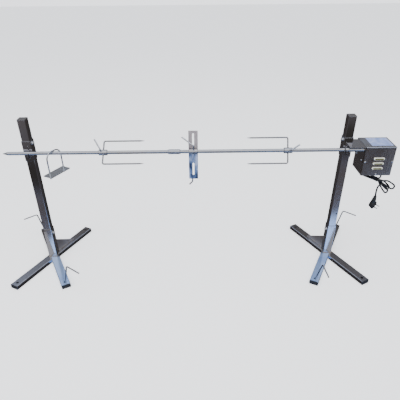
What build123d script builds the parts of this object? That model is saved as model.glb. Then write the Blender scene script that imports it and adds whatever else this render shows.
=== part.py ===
from build123d import *
import os
from math import cos, sin, pi, radians

# Rotisserie spit roaster: two cross-foot stands, a spit in two halves with forks, a brace
# and a leg bracket, and a gear motor in a sheet-metal box.  Millimetres, +Z up.
# The origin is on the floor under the left post.  +X runs along the spit to the motor and
# +Y points away from the side that the spit hangs on.

# ---------------------------------------------------------------- driving dimensions
SPAN = 1370.0            # between the two posts
POST = 35.0              # square tube
POST_WALL = 1.5
POST_TOP = 729.0
LEG_WIDTH = 40.0         # flat rectangular tube
LEG_HEIGHT = 20.0
LEG_WALL = 1.5
LEG_LENGTH = 510.0
LEG_ANGLE = 27.6         # from the Y axis
PEG_HOLE_RADIUS = 6.0
PEG_HOLE_REACH = 235.0   # from the post's axis
SLEEVE = 40.0            # base sockets and collars: square tube around the post
SLEEVE_WALL = 2.0
SOCKET_TOP = 180.0
SOCKET_BOLT_Z = 152.0
COLLAR_BOTTOM = 545.0
COLLAR_TOP = 634.0
COLLAR_BOLT_DROP = 14.0
BOLT_SHANK = 4.0
BOLT_HEAD_FLATS = 13.0
BOLT_HEAD = 5.5

SPIT_Y = -32.4
SPIT_Z = 586.0
SPIT_RADIUS = 7.5
SPIT_OVERHANG = 103.0    # point to left post
POINT_LENGTH = 22.0
COUPLING_X = 626.0
COUPLING_LENGTH = 54.0
COUPLING_RADIUS = 10.5
SPIT_END_X = 1421.0
STOP_RING_X = 1353.0
DRIVE_SLEEVE_X = 1371.0
DRIVE_SLEEVE_END_X = 1436.0
DRIVE_SLEEVE_RADIUS = 9.5

CRADLE_THICKNESS = 3.0
CRADLE_X = (3.5, 1360.5)

HUB_RADIUS = 12.0
HUB_BORE = 7.9
ROD = 3.0                # radius of every bent rod
RUN_FIT = 0.05           # radial clearance of a turning fit
FORK_HUB = 36.0
FORK_ARM_FROM_END = 17.0
FORK_BOLT_FROM_END = 11.0
TINE_RADIUS = 55.0       # tines to spit axis
TINE_LENGTH = 174.0
FORK_X = (305.0, 1130.0)         # outer end of each hub
FORK_TILT = (53.0, 27.0)         # of the tines, from upright
FORK_HANDLE = ((-27.0, 47.0), (37.0, 22.0))

BRACE_X = 707.0
BRACE_WIDTH = 40.0
BRACE_BOTTOM = -137.0            # from the spit's axis
BRACE_TOP = 89.0
BRACE_THICKNESS = 3.0
SLOT_WIDTH = 8.0

U_X = 111.0
U_TURN = 29.0                    # about Z
U_SPREAD = 79.0                  # between the legs
U_PLATE_Z = 494.0
U_PLATE = (112.0, 46.0, 3.0)

BOX_X = 1441.0                   # motor box
BOX_WIDTH = 129.0
BOX_FRONT_Y = -48.0
BOX_BACK_Y = 61.0
BOX_BOTTOM_Z = 468.0
BOX_TOP_Z = 602.5
SHEET = 1.2
COVER_DEPTH = 8.0
BUSH_RADIUS = 7.0                # of the output shaft's bush

CORD_RADIUS = 3.7
GLAND = Vector(1557, 5, 442)     # where the cord leaves the gland
HANK = Vector(1540, 5, 422)      # the tied middle of the hank
HANK_SLOPE = 27.0

STANDS = {"left": 0.0, "right": SPAN}
INWARD = {"left": 1.0, "right": -1.0}

os.makedirs("parts", exist_ok=True)


def save(part, label):
    """Label a finished piece and write its STEP."""
    part.label = label
    export_step(part, f"parts/{label}.step")


def radial(angle, length=1.0):
    """A vector square to the spit, at angle degrees from upright towards +Y."""
    return Vector(0, length * sin(radians(angle)), length * cos(radians(angle)))


def cylinder_between(start, direction, length, radius, mode=Mode.ADD):
    """Extrude a round bar from start, inside the part builder that is open."""
    with BuildSketch(Plane(origin=start, z_dir=direction)) as end_face:
        Circle(radius)
    extrude(end_face.sketch, amount=length, mode=mode)


def bent_rod(points, radius, bend):
    """A round rod along straight runs with rounded bends."""
    with BuildPart() as rod:
        with BuildLine() as path:
            FilletPolyline(*points, radius=bend)
        with BuildSketch(Plane(origin=path.line @ 0, z_dir=path.line % 0)):
            Circle(radius)
        sweep()
    return rod.part


def square_tube(centre, size, wall, bottom, top, corner):
    """An upright square tube."""
    with BuildPart() as tube:
        with BuildSketch(Plane(origin=(centre, 0, bottom), z_dir=(0, 0, 1))):
            RectangleRounded(size, size, corner)
            RectangleRounded(size - 2 * wall, size - 2 * wall, corner - 0.6 * wall, mode=Mode.SUBTRACT)
        extrude(amount=top - bottom)
    return tube.part


# ---------------------------------------------------------------- stands
def leg_direction(side, pegged):
    """Unit vector along a leg, towards the front end."""
    inward = INWARD[side] if pegged else -INWARD[side]
    angle = radians(LEG_ANGLE)
    return Vector(inward * sin(angle), -cos(angle), 0)


def leg_plane(side, pegged, reach=0.0):
    """Section plane of a leg, reach along it from the post's axis."""
    along = leg_direction(side, pegged)
    origin = Vector(STANDS[side], 0, LEG_HEIGHT / 2) + along * reach
    return Plane(origin=origin, x_dir=(-along.Y, along.X, 0), z_dir=along)


def leg_section():
    """The leg's tube, as a sketch in the builder that is open."""
    RectangleRounded(LEG_WIDTH, LEG_HEIGHT, 2.5)
    RectangleRounded(LEG_WIDTH - 2 * LEG_WALL, LEG_HEIGHT - 2 * LEG_WALL, 1.4, mode=Mode.SUBTRACT)


def peg_hole_centre(side, pegged, end):
    """Centre of a peg hole at floor level; end is 1 at the front and -1 at the back."""
    along = leg_direction(side, pegged)
    return Vector(STANDS[side], 0, 0) + along * (end * PEG_HOLE_REACH)


def drill_peg_holes(side, pegged):
    """Cut both peg holes of a leg."""
    for end in (1, -1):
        start = peg_hole_centre(side, pegged, end)
        cylinder_between(start, (0, 0, 1), LEG_HEIGHT, PEG_HOLE_RADIUS, Mode.SUBTRACT)


for side, post_x in STANDS.items():
    inward = INWARD[side]

    with BuildPart() as long_leg:
        with BuildSketch(leg_plane(side, True)):
            leg_section()
        extrude(amount=LEG_LENGTH / 2, both=True)
        drill_peg_holes(side, True)
    save(long_leg.part, f"{side}_long_leg")

    with BuildPart() as leg_halves:
        with BuildSketch(leg_plane(side, False)):
            leg_section()
        extrude(amount=LEG_LENGTH / 2, both=True)
        drill_peg_holes(side, False)
        with BuildSketch(leg_plane(side, True)):
            Rectangle(LEG_WIDTH, LEG_HEIGHT + 1)
        extrude(amount=LEG_LENGTH, both=True, mode=Mode.SUBTRACT)
    save(leg_halves.part, f"{side}_leg_halves")

    with BuildPart() as socket:
        add(square_tube(post_x, SLEEVE, SLEEVE_WALL, LEG_HEIGHT, SOCKET_TOP, 3.0))
        wall = Vector(post_x + inward * POST / 2, 0, SOCKET_BOLT_Z)
        cylinder_between(wall, (inward, 0, 0), SLEEVE, BOLT_SHANK + RUN_FIT, Mode.SUBTRACT)
    save(socket.part, f"{side}_base_socket")

    with BuildPart() as post:
        add(square_tube(post_x, POST, POST_WALL, LEG_HEIGHT, POST_TOP - 2, 2.5))
        if side == "right":
            stop_hole = Vector(post_x + 10, -POST / 2 - 1, 250)
            cylinder_between(stop_hole, (0, 1, 0), 2 + POST_WALL, 3, Mode.SUBTRACT)
    save(post.part, f"{side}_post")

    bolt_z = COLLAR_TOP - COLLAR_BOLT_DROP
    with BuildPart() as collar:
        add(square_tube(post_x, SLEEVE, SLEEVE_WALL, COLLAR_BOTTOM, COLLAR_TOP, 3.0))
        wall = Vector(post_x + inward * POST / 2, 0, bolt_z)
        cylinder_between(wall, (inward, 0, 0), SLEEVE, BOLT_SHANK + RUN_FIT, Mode.SUBTRACT)
    save(collar.part, f"{side}_collar")

    with BuildPart() as collar_bolt:
        head = Vector(post_x + inward * (SLEEVE / 2 + 0.2), 0, bolt_z)
        with BuildSketch(Plane(origin=head, z_dir=(inward, 0, 0))):
            RegularPolygon(BOLT_HEAD_FLATS / 2, 6, major_radius=False)
        extrude(amount=BOLT_HEAD)
        cylinder_between(head, (-inward, 0, 0), (SLEEVE - POST) / 2 - 0.2, BOLT_SHANK)
    save(collar_bolt.part, f"{side}_collar_bolt")

# The cradles are hooked plates on the collars' front faces.
for side, cradle_x in zip(STANDS, CRADLE_X):
    notch = HUB_BORE
    face_y = -SLEEVE / 2
    with BuildPart() as cradle:
        with BuildSketch(Plane(origin=(cradle_x, 0, 0), x_dir=(0, 1, 0), z_dir=(1, 0, 0))):
            with BuildLine():
                Polyline(
                    (face_y, SPIT_Z - 28),
                    (SPIT_Y - notch, SPIT_Z - 22),
                    (SPIT_Y - notch - 5, SPIT_Z - 14),
                    (SPIT_Y - notch - 5, SPIT_Z + 1),
                    (SPIT_Y - notch, SPIT_Z + 1),
                    (SPIT_Y - notch, SPIT_Z),
                    (SPIT_Y + notch, SPIT_Z),
                    (SPIT_Y + notch, SPIT_Z + 28),
                    (face_y, SPIT_Z + 28),
                    close=True,
                )
            make_face()
            with Locations((SPIT_Y, SPIT_Z)):
                Circle(notch, mode=Mode.SUBTRACT)
        extrude(amount=CRADLE_THICKNESS)
    save(cradle.part, f"{side}_cradle")

# Plastic plugs in the eight leg ends.
with BuildPart() as leg_plugs:
    for side in STANDS:
        for pegged in (True, False):
            for end in (1, -1):
                plane = leg_plane(side, pegged, end * LEG_LENGTH / 2)
                with BuildSketch(plane):
                    RectangleRounded(LEG_WIDTH, LEG_HEIGHT, 2.5)
                extrude(amount=end * 2.5)
                with BuildSketch(plane):
                    Rectangle(LEG_WIDTH - 2 * LEG_WALL - 3, LEG_HEIGHT - 2 * LEG_WALL - 1.5)
                extrude(amount=-end * 10)
save(leg_plugs.part, "leg_end_plugs")

# Triangular gussets stand on the back half of every leg, against the socket.
with BuildPart() as gussets:
    for side, post_x in STANDS.items():
        for pegged in (True, False):
            away = -leg_direction(side, pegged)
            plane = Plane(origin=(post_x, 0, 0), x_dir=away, z_dir=away.cross(Vector(0, 0, 1)))
            with BuildSketch(plane):
                with BuildLine():
                    Polyline((12, LEG_HEIGHT), (142, LEG_HEIGHT), (28, 92), (12, 92), close=True)
                make_face()
            extrude(amount=1.5, both=True)
    with BuildSketch(Plane.XY.offset(LEG_HEIGHT)):
        with Locations((0, 0), (SPAN, 0)):
            Rectangle(SLEEVE, SLEEVE)
    extrude(amount=SOCKET_TOP, mode=Mode.SUBTRACT)
save(gussets.part, "gussets")

with BuildPart() as socket_bolts:
    for side, post_x in STANDS.items():
        inward = INWARD[side]
        head = Vector(post_x + inward * SLEEVE / 2, 0, SOCKET_BOLT_Z)
        with BuildSketch(Plane(origin=head, z_dir=(inward, 0, 0))):
            RegularPolygon(BOLT_HEAD_FLATS / 2, 6, major_radius=False)
        extrude(amount=BOLT_HEAD)
        cylinder_between(head, (-inward, 0, 0), (SLEEVE - POST) / 2, BOLT_SHANK)
save(socket_bolts.part, "socket_bolts")

with BuildPart() as post_caps:
    with BuildSketch(Plane.XY.offset(POST_TOP - 2)):
        with Locations((0, 0), (SPAN, 0)):
            RectangleRounded(POST, POST, 2.5)
    extrude(amount=2)
save(post_caps.part, "post_caps")

# Ground pegs: pointed rods that lean in the long legs' holes, with a bent handle.
PEG_LENGTH = 122.0
PEG_HANDLE = 70.0
PEGS = {
    "left_front_peg": ("left", 1, (0.23, -0.07), (0.88, -0.43)),
    "left_back_peg": ("left", -1, (-0.24, 0.04), (-0.92, -0.3)),
    "right_front_peg": ("right", 1, (0.14, -0.19), (0.16, -0.97)),
    "right_back_peg": ("right", -1, (0.24, 0.02), (0.92, -0.33)),
}
for name, (side, end, lean, reach) in PEGS.items():
    axis = Vector(lean[0], lean[1], (1 - lean[0] ** 2 - lean[1] ** 2) ** 0.5)
    hole = peg_hole_centre(side, True, end) + Vector(0, 0, LEG_HEIGHT / 2)
    foot = hole - axis * ((LEG_HEIGHT / 2 - 0.3) / axis.Z)
    flat = Vector(reach[0], reach[1], 0)
    handle = (flat - axis * flat.dot(axis)).normalized()
    bend = foot + axis * PEG_LENGTH
    with BuildPart() as peg:
        add(bent_rod([foot + axis * 8, bend, bend + handle * PEG_HANDLE], ROD, 8))
        with BuildSketch(Plane(origin=foot + axis * 8, z_dir=axis)):
            Circle(ROD)
        with BuildSketch(Plane(origin=foot + axis * 0.8, z_dir=axis)):
            Circle(0.8)
        loft()
    save(peg.part, name)

# ---------------------------------------------------------------- spit
ALONG = (1, 0, 0)


def on_spit(x):
    """A point on the spit's axis."""
    return Vector(x, SPIT_Y, SPIT_Z)


with BuildPart() as point_half:
    tip = on_spit(-SPIT_OVERHANG)
    cylinder_between(tip + Vector(POINT_LENGTH), ALONG, COUPLING_X - 1 + SPIT_OVERHANG - POINT_LENGTH, SPIT_RADIUS)
    with BuildSketch(Plane(origin=tip, z_dir=ALONG)):
        Circle(0.8)
    with BuildSketch(Plane(origin=tip + Vector(POINT_LENGTH), z_dir=ALONG)):
        Circle(SPIT_RADIUS)
    loft()
save(point_half.part, "spit_point_half")

with BuildPart() as drive_half:
    start = on_spit(COUPLING_X + 1)
    cylinder_between(start, ALONG, SPIT_END_X - COUPLING_X - 1, SPIT_RADIUS)
save(drive_half.part, "spit_drive_half")

with BuildPart() as coupling:
    start = on_spit(COUPLING_X - COUPLING_LENGTH / 2)
    cylinder_between(start, ALONG, COUPLING_LENGTH, COUPLING_RADIUS)
    chamfer(coupling.edges().filter_by(GeomType.CIRCLE), 5, 2)
    cylinder_between(start, ALONG, COUPLING_LENGTH, SPIT_RADIUS + RUN_FIT, Mode.SUBTRACT)
save(coupling.part, "spit_coupling")

with BuildPart() as stop_ring:
    cylinder_between(on_spit(STOP_RING_X), ALONG, 4, DRIVE_SLEEVE_RADIUS)
    cylinder_between(on_spit(STOP_RING_X), ALONG, 4, SPIT_RADIUS + RUN_FIT, Mode.SUBTRACT)
save(stop_ring.part, "spit_stop_ring")

SCREW_X = 1379.0
SCREW_ANGLE = 205.0
SCREW_REACH = 11.7       # from the spit's axis: it turns 12 mm clear in front of the collar
with BuildPart() as drive_sleeve:
    length = DRIVE_SLEEVE_END_X - DRIVE_SLEEVE_X
    cylinder_between(on_spit(DRIVE_SLEEVE_X), ALONG, length, DRIVE_SLEEVE_RADIUS)
    cylinder_between(on_spit(DRIVE_SLEEVE_X), ALONG, length, SPIT_RADIUS + RUN_FIT, Mode.SUBTRACT)
    cylinder_between(on_spit(SCREW_X), radial(SCREW_ANGLE), 20, 2.5 + RUN_FIT, Mode.SUBTRACT)
save(drive_sleeve.part, "drive_sleeve")

with BuildPart() as set_screw:
    inner_end = on_spit(SCREW_X) + radial(SCREW_ANGLE, SPIT_RADIUS + 0.1)
    cylinder_between(inner_end, radial(SCREW_ANGLE), SCREW_REACH - SPIT_RADIUS - 0.1, 2.5)
save(set_screw.part, "sleeve_set_screw")


# ---------------------------------------------------------------- forks, brace and leg bracket
def handled_bolt(x, angle, stem, handle):
    """An L-shaped clamping bolt: stem from the hub's axis outwards, then its handle.
    handle is its reach along X and along the direction square to the stem."""
    outward = radial(angle)
    across = radial(angle + 90)
    start = on_spit(x) + outward * (SPIT_RADIUS + 0.4)
    corner = on_spit(x) + outward * (HUB_RADIUS + stem)
    end = corner + Vector(handle[0], 0, 0) + across * handle[1]
    return bent_rod([start, corner, end], ROD, 6)


def clamp_hub(x, length, angle, bolt_x):
    """A short tube that slides on the spit, with a tapped hole for its bolt."""
    with BuildPart() as hub:
        cylinder_between(on_spit(x), ALONG, length, HUB_RADIUS)
        chamfer(hub.edges().filter_by(GeomType.CIRCLE), 1)
        cylinder_between(on_spit(x), ALONG, length, HUB_BORE, Mode.SUBTRACT)
        cylinder_between(on_spit(bolt_x), radial(angle), 20, ROD + RUN_FIT, Mode.SUBTRACT)
    return hub.part


for side, outer_x, tilt, handle in zip(STANDS, FORK_X, FORK_TILT, FORK_HANDLE):
    inward = INWARD[side]
    bolt_x = outer_x + inward * FORK_BOLT_FROM_END
    arm_x = outer_x + inward * (FORK_HUB - FORK_ARM_FROM_END)
    bolt_angle = tilt - 90
    hub_x = min(outer_x, outer_x + inward * FORK_HUB)
    save(clamp_hub(hub_x, FORK_HUB, bolt_angle, bolt_x), f"{side}_fork_hub")

    # Each tine is one bent rod that starts on the hub and ends in a chisel point.
    with BuildPart() as tines:
        for turn in (0, 180):
            outward = radial(tilt + turn)
            root = on_spit(arm_x) + outward * (HUB_RADIUS - 1)
            corner = on_spit(arm_x) + outward * TINE_RADIUS
            tip = corner + Vector(inward * (TINE_LENGTH - 18), 0, 0)
            add(bent_rod([root, corner, tip], ROD, 7))
            with BuildSketch(Plane(origin=tip, x_dir=outward, z_dir=(inward, 0, 0))):
                Circle(ROD)
            with BuildSketch(Plane(origin=tip + Vector(inward * 18, 0, 0), x_dir=outward, z_dir=(inward, 0, 0))):
                Circle(0.8)
            loft()
        cylinder_between(on_spit(hub_x), ALONG, FORK_HUB, HUB_RADIUS, Mode.SUBTRACT)
    save(tines.part, f"{side}_fork_tines")
    save(handled_bolt(bolt_x, bolt_angle, 18, handle), f"{side}_fork_bolt")

BRACE_BOLT_ANGLE = -35.0
PLATE_Y = SPIT_Y + HUB_RADIUS - 1
with BuildPart() as brace_hub:
    add(clamp_hub(BRACE_X - 19, 38, BRACE_BOLT_ANGLE, BRACE_X + 2))
    with BuildSketch(Plane(origin=(BRACE_X, PLATE_Y, SPIT_Z), x_dir=(1, 0, 0), z_dir=(0, 1, 0))):
        Rectangle(60, 40)
    extrude(amount=5, mode=Mode.SUBTRACT)
save(brace_hub.part, "brace_hub")

with BuildPart() as brace_plate:
    with BuildSketch(Plane(origin=(BRACE_X, PLATE_Y, SPIT_Z), x_dir=(1, 0, 0), z_dir=(0, -1, 0))):
        with Locations((0, (BRACE_BOTTOM + BRACE_TOP) / 2)):
            RectangleRounded(BRACE_WIDTH, BRACE_TOP - BRACE_BOTTOM, 2)
        with Locations((0, 48), (0, -89)):
            SlotOverall(60, SLOT_WIDTH, rotation=90, mode=Mode.SUBTRACT)
    extrude(amount=-BRACE_THICKNESS)
save(brace_plate.part, "brace_plate")

save(handled_bolt(BRACE_X + 2, BRACE_BOLT_ANGLE, 34, (-50, 43)), "brace_bolt")

HOOK_Y = PLATE_Y + BRACE_THICKNESS + ROD
hook_points = [
    (BRACE_X - 5, HOOK_Y, SPIT_Z + BRACE_BOTTOM + 9),
    (BRACE_X - 5, HOOK_Y, SPIT_Z + BRACE_BOTTOM - 16),
    (BRACE_X - 19, HOOK_Y - 10, SPIT_Z + BRACE_BOTTOM - 26),
]
save(bent_rod(hook_points, ROD, 5), "brace_hook")

# The leg bracket hangs over the spit: an arched rod with a clamping plate and two nuts.
U_ACROSS = Vector(sin(radians(U_TURN)), cos(radians(U_TURN)), 0)
U_SIDE = Vector(cos(radians(U_TURN)), -sin(radians(U_TURN)), 0)
U_CROWN_Z = SPIT_Z + SPIT_RADIUS + 0.5 + ROD
u_front = on_spit(U_X) - U_ACROSS * (U_SPREAD / 2)
u_back = on_spit(U_X) + U_ACROSS * (U_SPREAD / 2)
U_TAIL_Z = U_PLATE_Z - 14
u_points = [
    Vector(u_front.X, u_front.Y, U_TAIL_Z),
    Vector(u_front.X, u_front.Y, U_CROWN_Z),
    Vector(u_back.X, u_back.Y, U_CROWN_Z),
    Vector(u_back.X, u_back.Y, U_TAIL_Z),
]
save(bent_rod(u_points, ROD, U_SPREAD / 2 - 8), "leg_bracket_rod")

with BuildPart() as u_plate:
    with BuildSketch(Plane(origin=(U_X, SPIT_Y, U_PLATE_Z), x_dir=U_ACROSS, z_dir=(0, 0, 1))):
        RectangleRounded(U_PLATE[0], U_PLATE[1], 2)
        with Locations((U_SPREAD / 2, 0), (-U_SPREAD / 2, 0)):
            Circle(ROD + 0.5, mode=Mode.SUBTRACT)
    extrude(amount=U_PLATE[2])
save(u_plate.part, "leg_bracket_plate")

with BuildPart() as u_nuts:
    with BuildSketch(Plane(origin=(U_X, SPIT_Y, U_PLATE_Z), x_dir=U_ACROSS, z_dir=(0, 0, 1))):
        with Locations((U_SPREAD / 2, 0), (-U_SPREAD / 2, 0)):
            RegularPolygon(5, 6, major_radius=False)
            Circle(ROD + 0.5, mode=Mode.SUBTRACT)
    extrude(amount=-5)
save(u_nuts.part, "leg_bracket_nuts")

# ---------------------------------------------------------------- motor bracket and box
BRACKET = 3.0
BRACKET_Z = 598.0
with BuildPart() as bracket:
    with BuildSketch(Plane.XY.offset(BRACKET_Z)):
        with BuildLine():
            Polyline(
                (SPAN + 3, -46),
                (BOX_X, -46),
                (BOX_X, 48),
                (SPAN + 38, 48),
                (SPAN + SLEEVE / 2, 20),
                (SPAN + SLEEVE / 2, -SLEEVE / 2),
                (SPAN + 3, -SLEEVE / 2),
                close=True,
            )
        make_face()
    extrude(amount=BRACKET)
    fillet(bracket.edges().filter_by(Axis.Z).group_by(Axis.Y)[-1].sort_by(Axis.X)[0], 14)
    with BuildSketch(Plane(origin=(BOX_X - BRACKET, 0, 0), x_dir=(0, 1, 0), z_dir=(1, 0, 0))):
        with Locations((4, (BRACKET_Z + 525) / 2)):
            Rectangle(88, BRACKET_Z - 525)
        with Locations((SPIT_Y, SPIT_Z)):
            Circle(DRIVE_SLEEVE_RADIUS + 2, mode=Mode.SUBTRACT)
        with Locations((42, 588), (36, 539), (-24, 533)):
            Circle(2.6, mode=Mode.SUBTRACT)
    extrude(amount=BRACKET)
save(bracket.part, "motor_bracket")

box_end_x = BOX_X + BOX_WIDTH
box_mid = (BOX_X + BOX_WIDTH / 2, (BOX_FRONT_Y + COVER_DEPTH + BOX_BACK_Y) / 2)
box_depth = BOX_BACK_Y - BOX_FRONT_Y - COVER_DEPTH
with BuildPart() as housing:
    with BuildSketch(Plane.XY.offset(BOX_BOTTOM_Z)):
        with Locations(box_mid):
            Rectangle(BOX_WIDTH, box_depth)
    extrude(amount=BOX_TOP_Z - BOX_BOTTOM_Z)
    with BuildSketch(Plane.XY.offset(BOX_BOTTOM_Z + SHEET)):
        with Locations((box_mid[0], box_mid[1] - SHEET)):
            Rectangle(BOX_WIDTH - 2 * SHEET, box_depth)
    extrude(amount=BOX_TOP_Z - BOX_BOTTOM_Z - 2 * SHEET, mode=Mode.SUBTRACT)
    # The top sheet runs on over the front cover and turns down as a lip.
    lip_y = BOX_FRONT_Y - 1.4
    with BuildSketch(Plane(origin=(BOX_X, 0, 0), x_dir=(0, 1, 0), z_dir=(1, 0, 0))):
        with BuildLine():
            Polyline(
                (BOX_FRONT_Y + COVER_DEPTH + 4, BOX_TOP_Z),
                (lip_y, BOX_TOP_Z),
                (lip_y, BOX_TOP_Z - 3.5),
                (lip_y + SHEET, BOX_TOP_Z - 3.5),
                (lip_y + SHEET, BOX_TOP_Z - SHEET),
                (BOX_FRONT_Y + COVER_DEPTH + 4, BOX_TOP_Z - SHEET),
                close=True,
            )
        make_face()
    extrude(amount=BOX_WIDTH)
    # Openings: shaft bush and bracket screws on the left wall, gland in the floor.
    with BuildSketch(Plane(origin=(BOX_X, 0, 0), x_dir=(0, 1, 0), z_dir=(1, 0, 0))):
        with Locations((SPIT_Y, SPIT_Z)):
            Circle(BUSH_RADIUS + 0.1)
        with Locations((42, 588), (36, 539), (-24, 533)):
            Circle(2.6)
    extrude(amount=SHEET, mode=Mode.SUBTRACT)
    cylinder_between((GLAND.X, GLAND.Y, BOX_BOTTOM_Z), (0, 0, 1), SHEET, 5.0, Mode.SUBTRACT)
save(housing.part, "motor_housing")

COVER_TOP_Z = BOX_TOP_Z - SHEET - 0.1
LOUVRES_Z = (549.0, 526.5, 504.0)
LOUVRE = (46.0, 10.0)
COVER_SCREWS = ((BOX_X + 6, 534), (box_end_x - 6, 534), (box_mid[0], BOX_BOTTOM_Z + 5.5))
with BuildPart() as cover:
    with BuildSketch(Plane.XY.offset(BOX_BOTTOM_Z)):
        with Locations((box_mid[0], BOX_FRONT_Y + COVER_DEPTH / 2 - 0.1)):
            Rectangle(BOX_WIDTH, COVER_DEPTH - 0.2)
    extrude(amount=COVER_TOP_Z - BOX_BOTTOM_Z)
    offset(amount=-SHEET, openings=cover.faces().sort_by(Axis.Y)[-1])
    # Each louvre is a pressed hood with a slit under it.
    front = Plane(origin=(box_mid[0], BOX_FRONT_Y, 0), x_dir=(1, 0, 0), z_dir=(0, -1, 0))
    for louvre_z in LOUVRES_Z:
        with BuildSketch(front):
            with Locations((0, louvre_z)):
                SlotOverall(*LOUVRE)
        extrude(amount=3.2, taper=30)
        with BuildSketch(front.offset(-SHEET)):
            with Locations((0, louvre_z)):
                SlotOverall(LOUVRE[0] - 3, LOUVRE[1] - 3)
        extrude(amount=3.0, taper=30, mode=Mode.SUBTRACT)
        with BuildSketch(front.offset(-SHEET)):
            with Locations((0, louvre_z - 3.2)):
                Rectangle(LOUVRE[0] - 10, 4.0)
        extrude(amount=6, mode=Mode.SUBTRACT)
    with BuildSketch(front):
        with Locations(*[(x - box_mid[0], z) for x, z in COVER_SCREWS]):
            Circle(2.1)
    extrude(amount=-SHEET, mode=Mode.SUBTRACT)
save(cover.part, "motor_front_cover")

with BuildPart() as label:
    with BuildSketch(Plane.XY.offset(BOX_TOP_Z)):
        with Locations((BOX_X + 76, 12)):
            RectangleRounded(93, 88, 3)
    extrude(amount=0.8)
save(label.part, "rating_label")

with BuildPart() as screws:
    for x, z in COVER_SCREWS:
        head = Vector(x, BOX_FRONT_Y, z)
        cylinder_between(head, (0, -1, 0), 2.4, 4.0)
        cylinder_between(head, (0, 1, 0), 5.0, 2.0)
    for y, z in ((42, 588), (36, 539), (-24, 533)):
        head = Vector(BOX_X - BRACKET, y, z)
        cylinder_between(head, (-1, 0, 0), 2.8, 4.5)
        cylinder_between(head, (1, 0, 0), 8.0, 2.5)
    fillet(screws.edges().filter_by(GeomType.CIRCLE).filter_by(lambda e: e.radius > 3.9), 1.0)
save(screws.part, "housing_screws")

# ---------------------------------------------------------------- gear motor
CASE_X = BOX_X + 1.6
CASE_END_X = CASE_X + 28.0
CASE_Y = (-45.4, 10.0)
CASE_Z = (545.0, 599.2)
CASE_WALL = 1.5
OUTPUT_TEETH, OUTPUT_MODULE = 24, 0.8
IDLER_TEETH, IDLER_MODULE = 48, 0.6
PINION_TEETH = 12
GEAR_X = CASE_X + 5.0            # output gear and idler pinion
REDUCTION_X = CASE_X + 16.0      # idler gear and rotor pinion
GEAR_WIDTH = 8.0
REDUCTION_WIDTH = 6.0
TRAIN_ANGLE = -45.0              # from the Y axis


def in_train(start, distance):
    """The next axis of the gear train, as (y, z)."""
    angle = radians(TRAIN_ANGLE)
    return (start[0] + distance * cos(angle), start[1] + distance * sin(angle))


OUTPUT_AXIS = (SPIT_Y, SPIT_Z)
IDLER_AXIS = in_train(OUTPUT_AXIS, OUTPUT_MODULE * (OUTPUT_TEETH + PINION_TEETH) / 2)
ROTOR_AXIS = in_train(IDLER_AXIS, IDLER_MODULE * (IDLER_TEETH + PINION_TEETH) / 2)


def gear_face(teeth, module, phase):
    """Straight-sided teeth on a root circle, as a sketch in the builder that is open."""
    pitch = module * teeth / 2
    root = pitch - 1.3 * module
    tip = pitch + 0.75 * module
    half = pi / (2 * teeth)
    Circle(root)
    with BuildLine(mode=Mode.PRIVATE) as flank:
        Polyline(
            ((root - 0.3) * cos(1.3 * half), -(root - 0.3) * sin(1.3 * half)),
            (tip * cos(0.42 * half), -tip * sin(0.42 * half)),
            (tip * cos(0.42 * half), tip * sin(0.42 * half)),
            ((root - 0.3) * cos(1.3 * half), (root - 0.3) * sin(1.3 * half)),
            close=True,
        )
    tooth = make_face(flank.line, mode=Mode.PRIVATE)
    with PolarLocations(0, teeth, start_angle=phase):
        add(tooth)


def shaft_plane(x, axis):
    """A plane across the gear train at x, with its own x along +Y."""
    return Plane(origin=(x, axis[0], axis[1]), x_dir=(0, 1, 0), z_dir=(1, 0, 0))


def half_pitch(teeth):
    return 180.0 / teeth


with BuildPart() as output_gear:
    with BuildSketch(shaft_plane(GEAR_X, OUTPUT_AXIS)):
        gear_face(OUTPUT_TEETH, OUTPUT_MODULE, TRAIN_ANGLE)
        Circle(5.0 + RUN_FIT, mode=Mode.SUBTRACT)
    extrude(amount=GEAR_WIDTH)
save(output_gear.part, "output_gear")

with BuildPart() as output_shaft:
    cylinder_between(on_spit(SPIT_END_X + 2), ALONG, DRIVE_SLEEVE_END_X - SPIT_END_X - 2, SPIT_RADIUS)
    cylinder_between(on_spit(DRIVE_SLEEVE_END_X), ALONG, GEAR_X + GEAR_WIDTH - DRIVE_SLEEVE_END_X, 5.0)
save(output_shaft.part, "output_shaft")

with BuildPart() as bush:
    cylinder_between(on_spit(BOX_X - 2), ALONG, CASE_X + CASE_WALL - BOX_X + 2, BUSH_RADIUS)
    cylinder_between(on_spit(BOX_X - 2), ALONG, 10, 5.0 + RUN_FIT, Mode.SUBTRACT)
save(bush.part, "shaft_bush")

with BuildPart() as idler:
    with BuildSketch(shaft_plane(GEAR_X, IDLER_AXIS)):
        gear_face(PINION_TEETH, OUTPUT_MODULE, TRAIN_ANGLE + 180 + half_pitch(PINION_TEETH))
    extrude(amount=REDUCTION_X - GEAR_X)
    with BuildSketch(shaft_plane(REDUCTION_X, IDLER_AXIS)):
        gear_face(IDLER_TEETH, IDLER_MODULE, TRAIN_ANGLE)
    extrude(amount=REDUCTION_WIDTH)
    cylinder_between((CASE_X + 0.3, *IDLER_AXIS), ALONG, CASE_END_X - CASE_X + 2, 2.0)
save(idler.part, "idler_gear")

CAN_X = CASE_END_X + 3.0
CAN_LENGTH = 58.0
CAN_RADIUS = 28.0
with BuildPart() as rotor:
    with BuildSketch(shaft_plane(REDUCTION_X, ROTOR_AXIS)):
        gear_face(PINION_TEETH, IDLER_MODULE, TRAIN_ANGLE + 180 + half_pitch(PINION_TEETH))
    extrude(amount=REDUCTION_WIDTH)
    cylinder_between((REDUCTION_X, *ROTOR_AXIS), ALONG, CAN_X + CAN_LENGTH - REDUCTION_X, 2.0)
    cylinder_between((CAN_X + 10, *ROTOR_AXIS), ALONG, CAN_LENGTH - 20, 20)
save(rotor.part, "motor_rotor")

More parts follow.
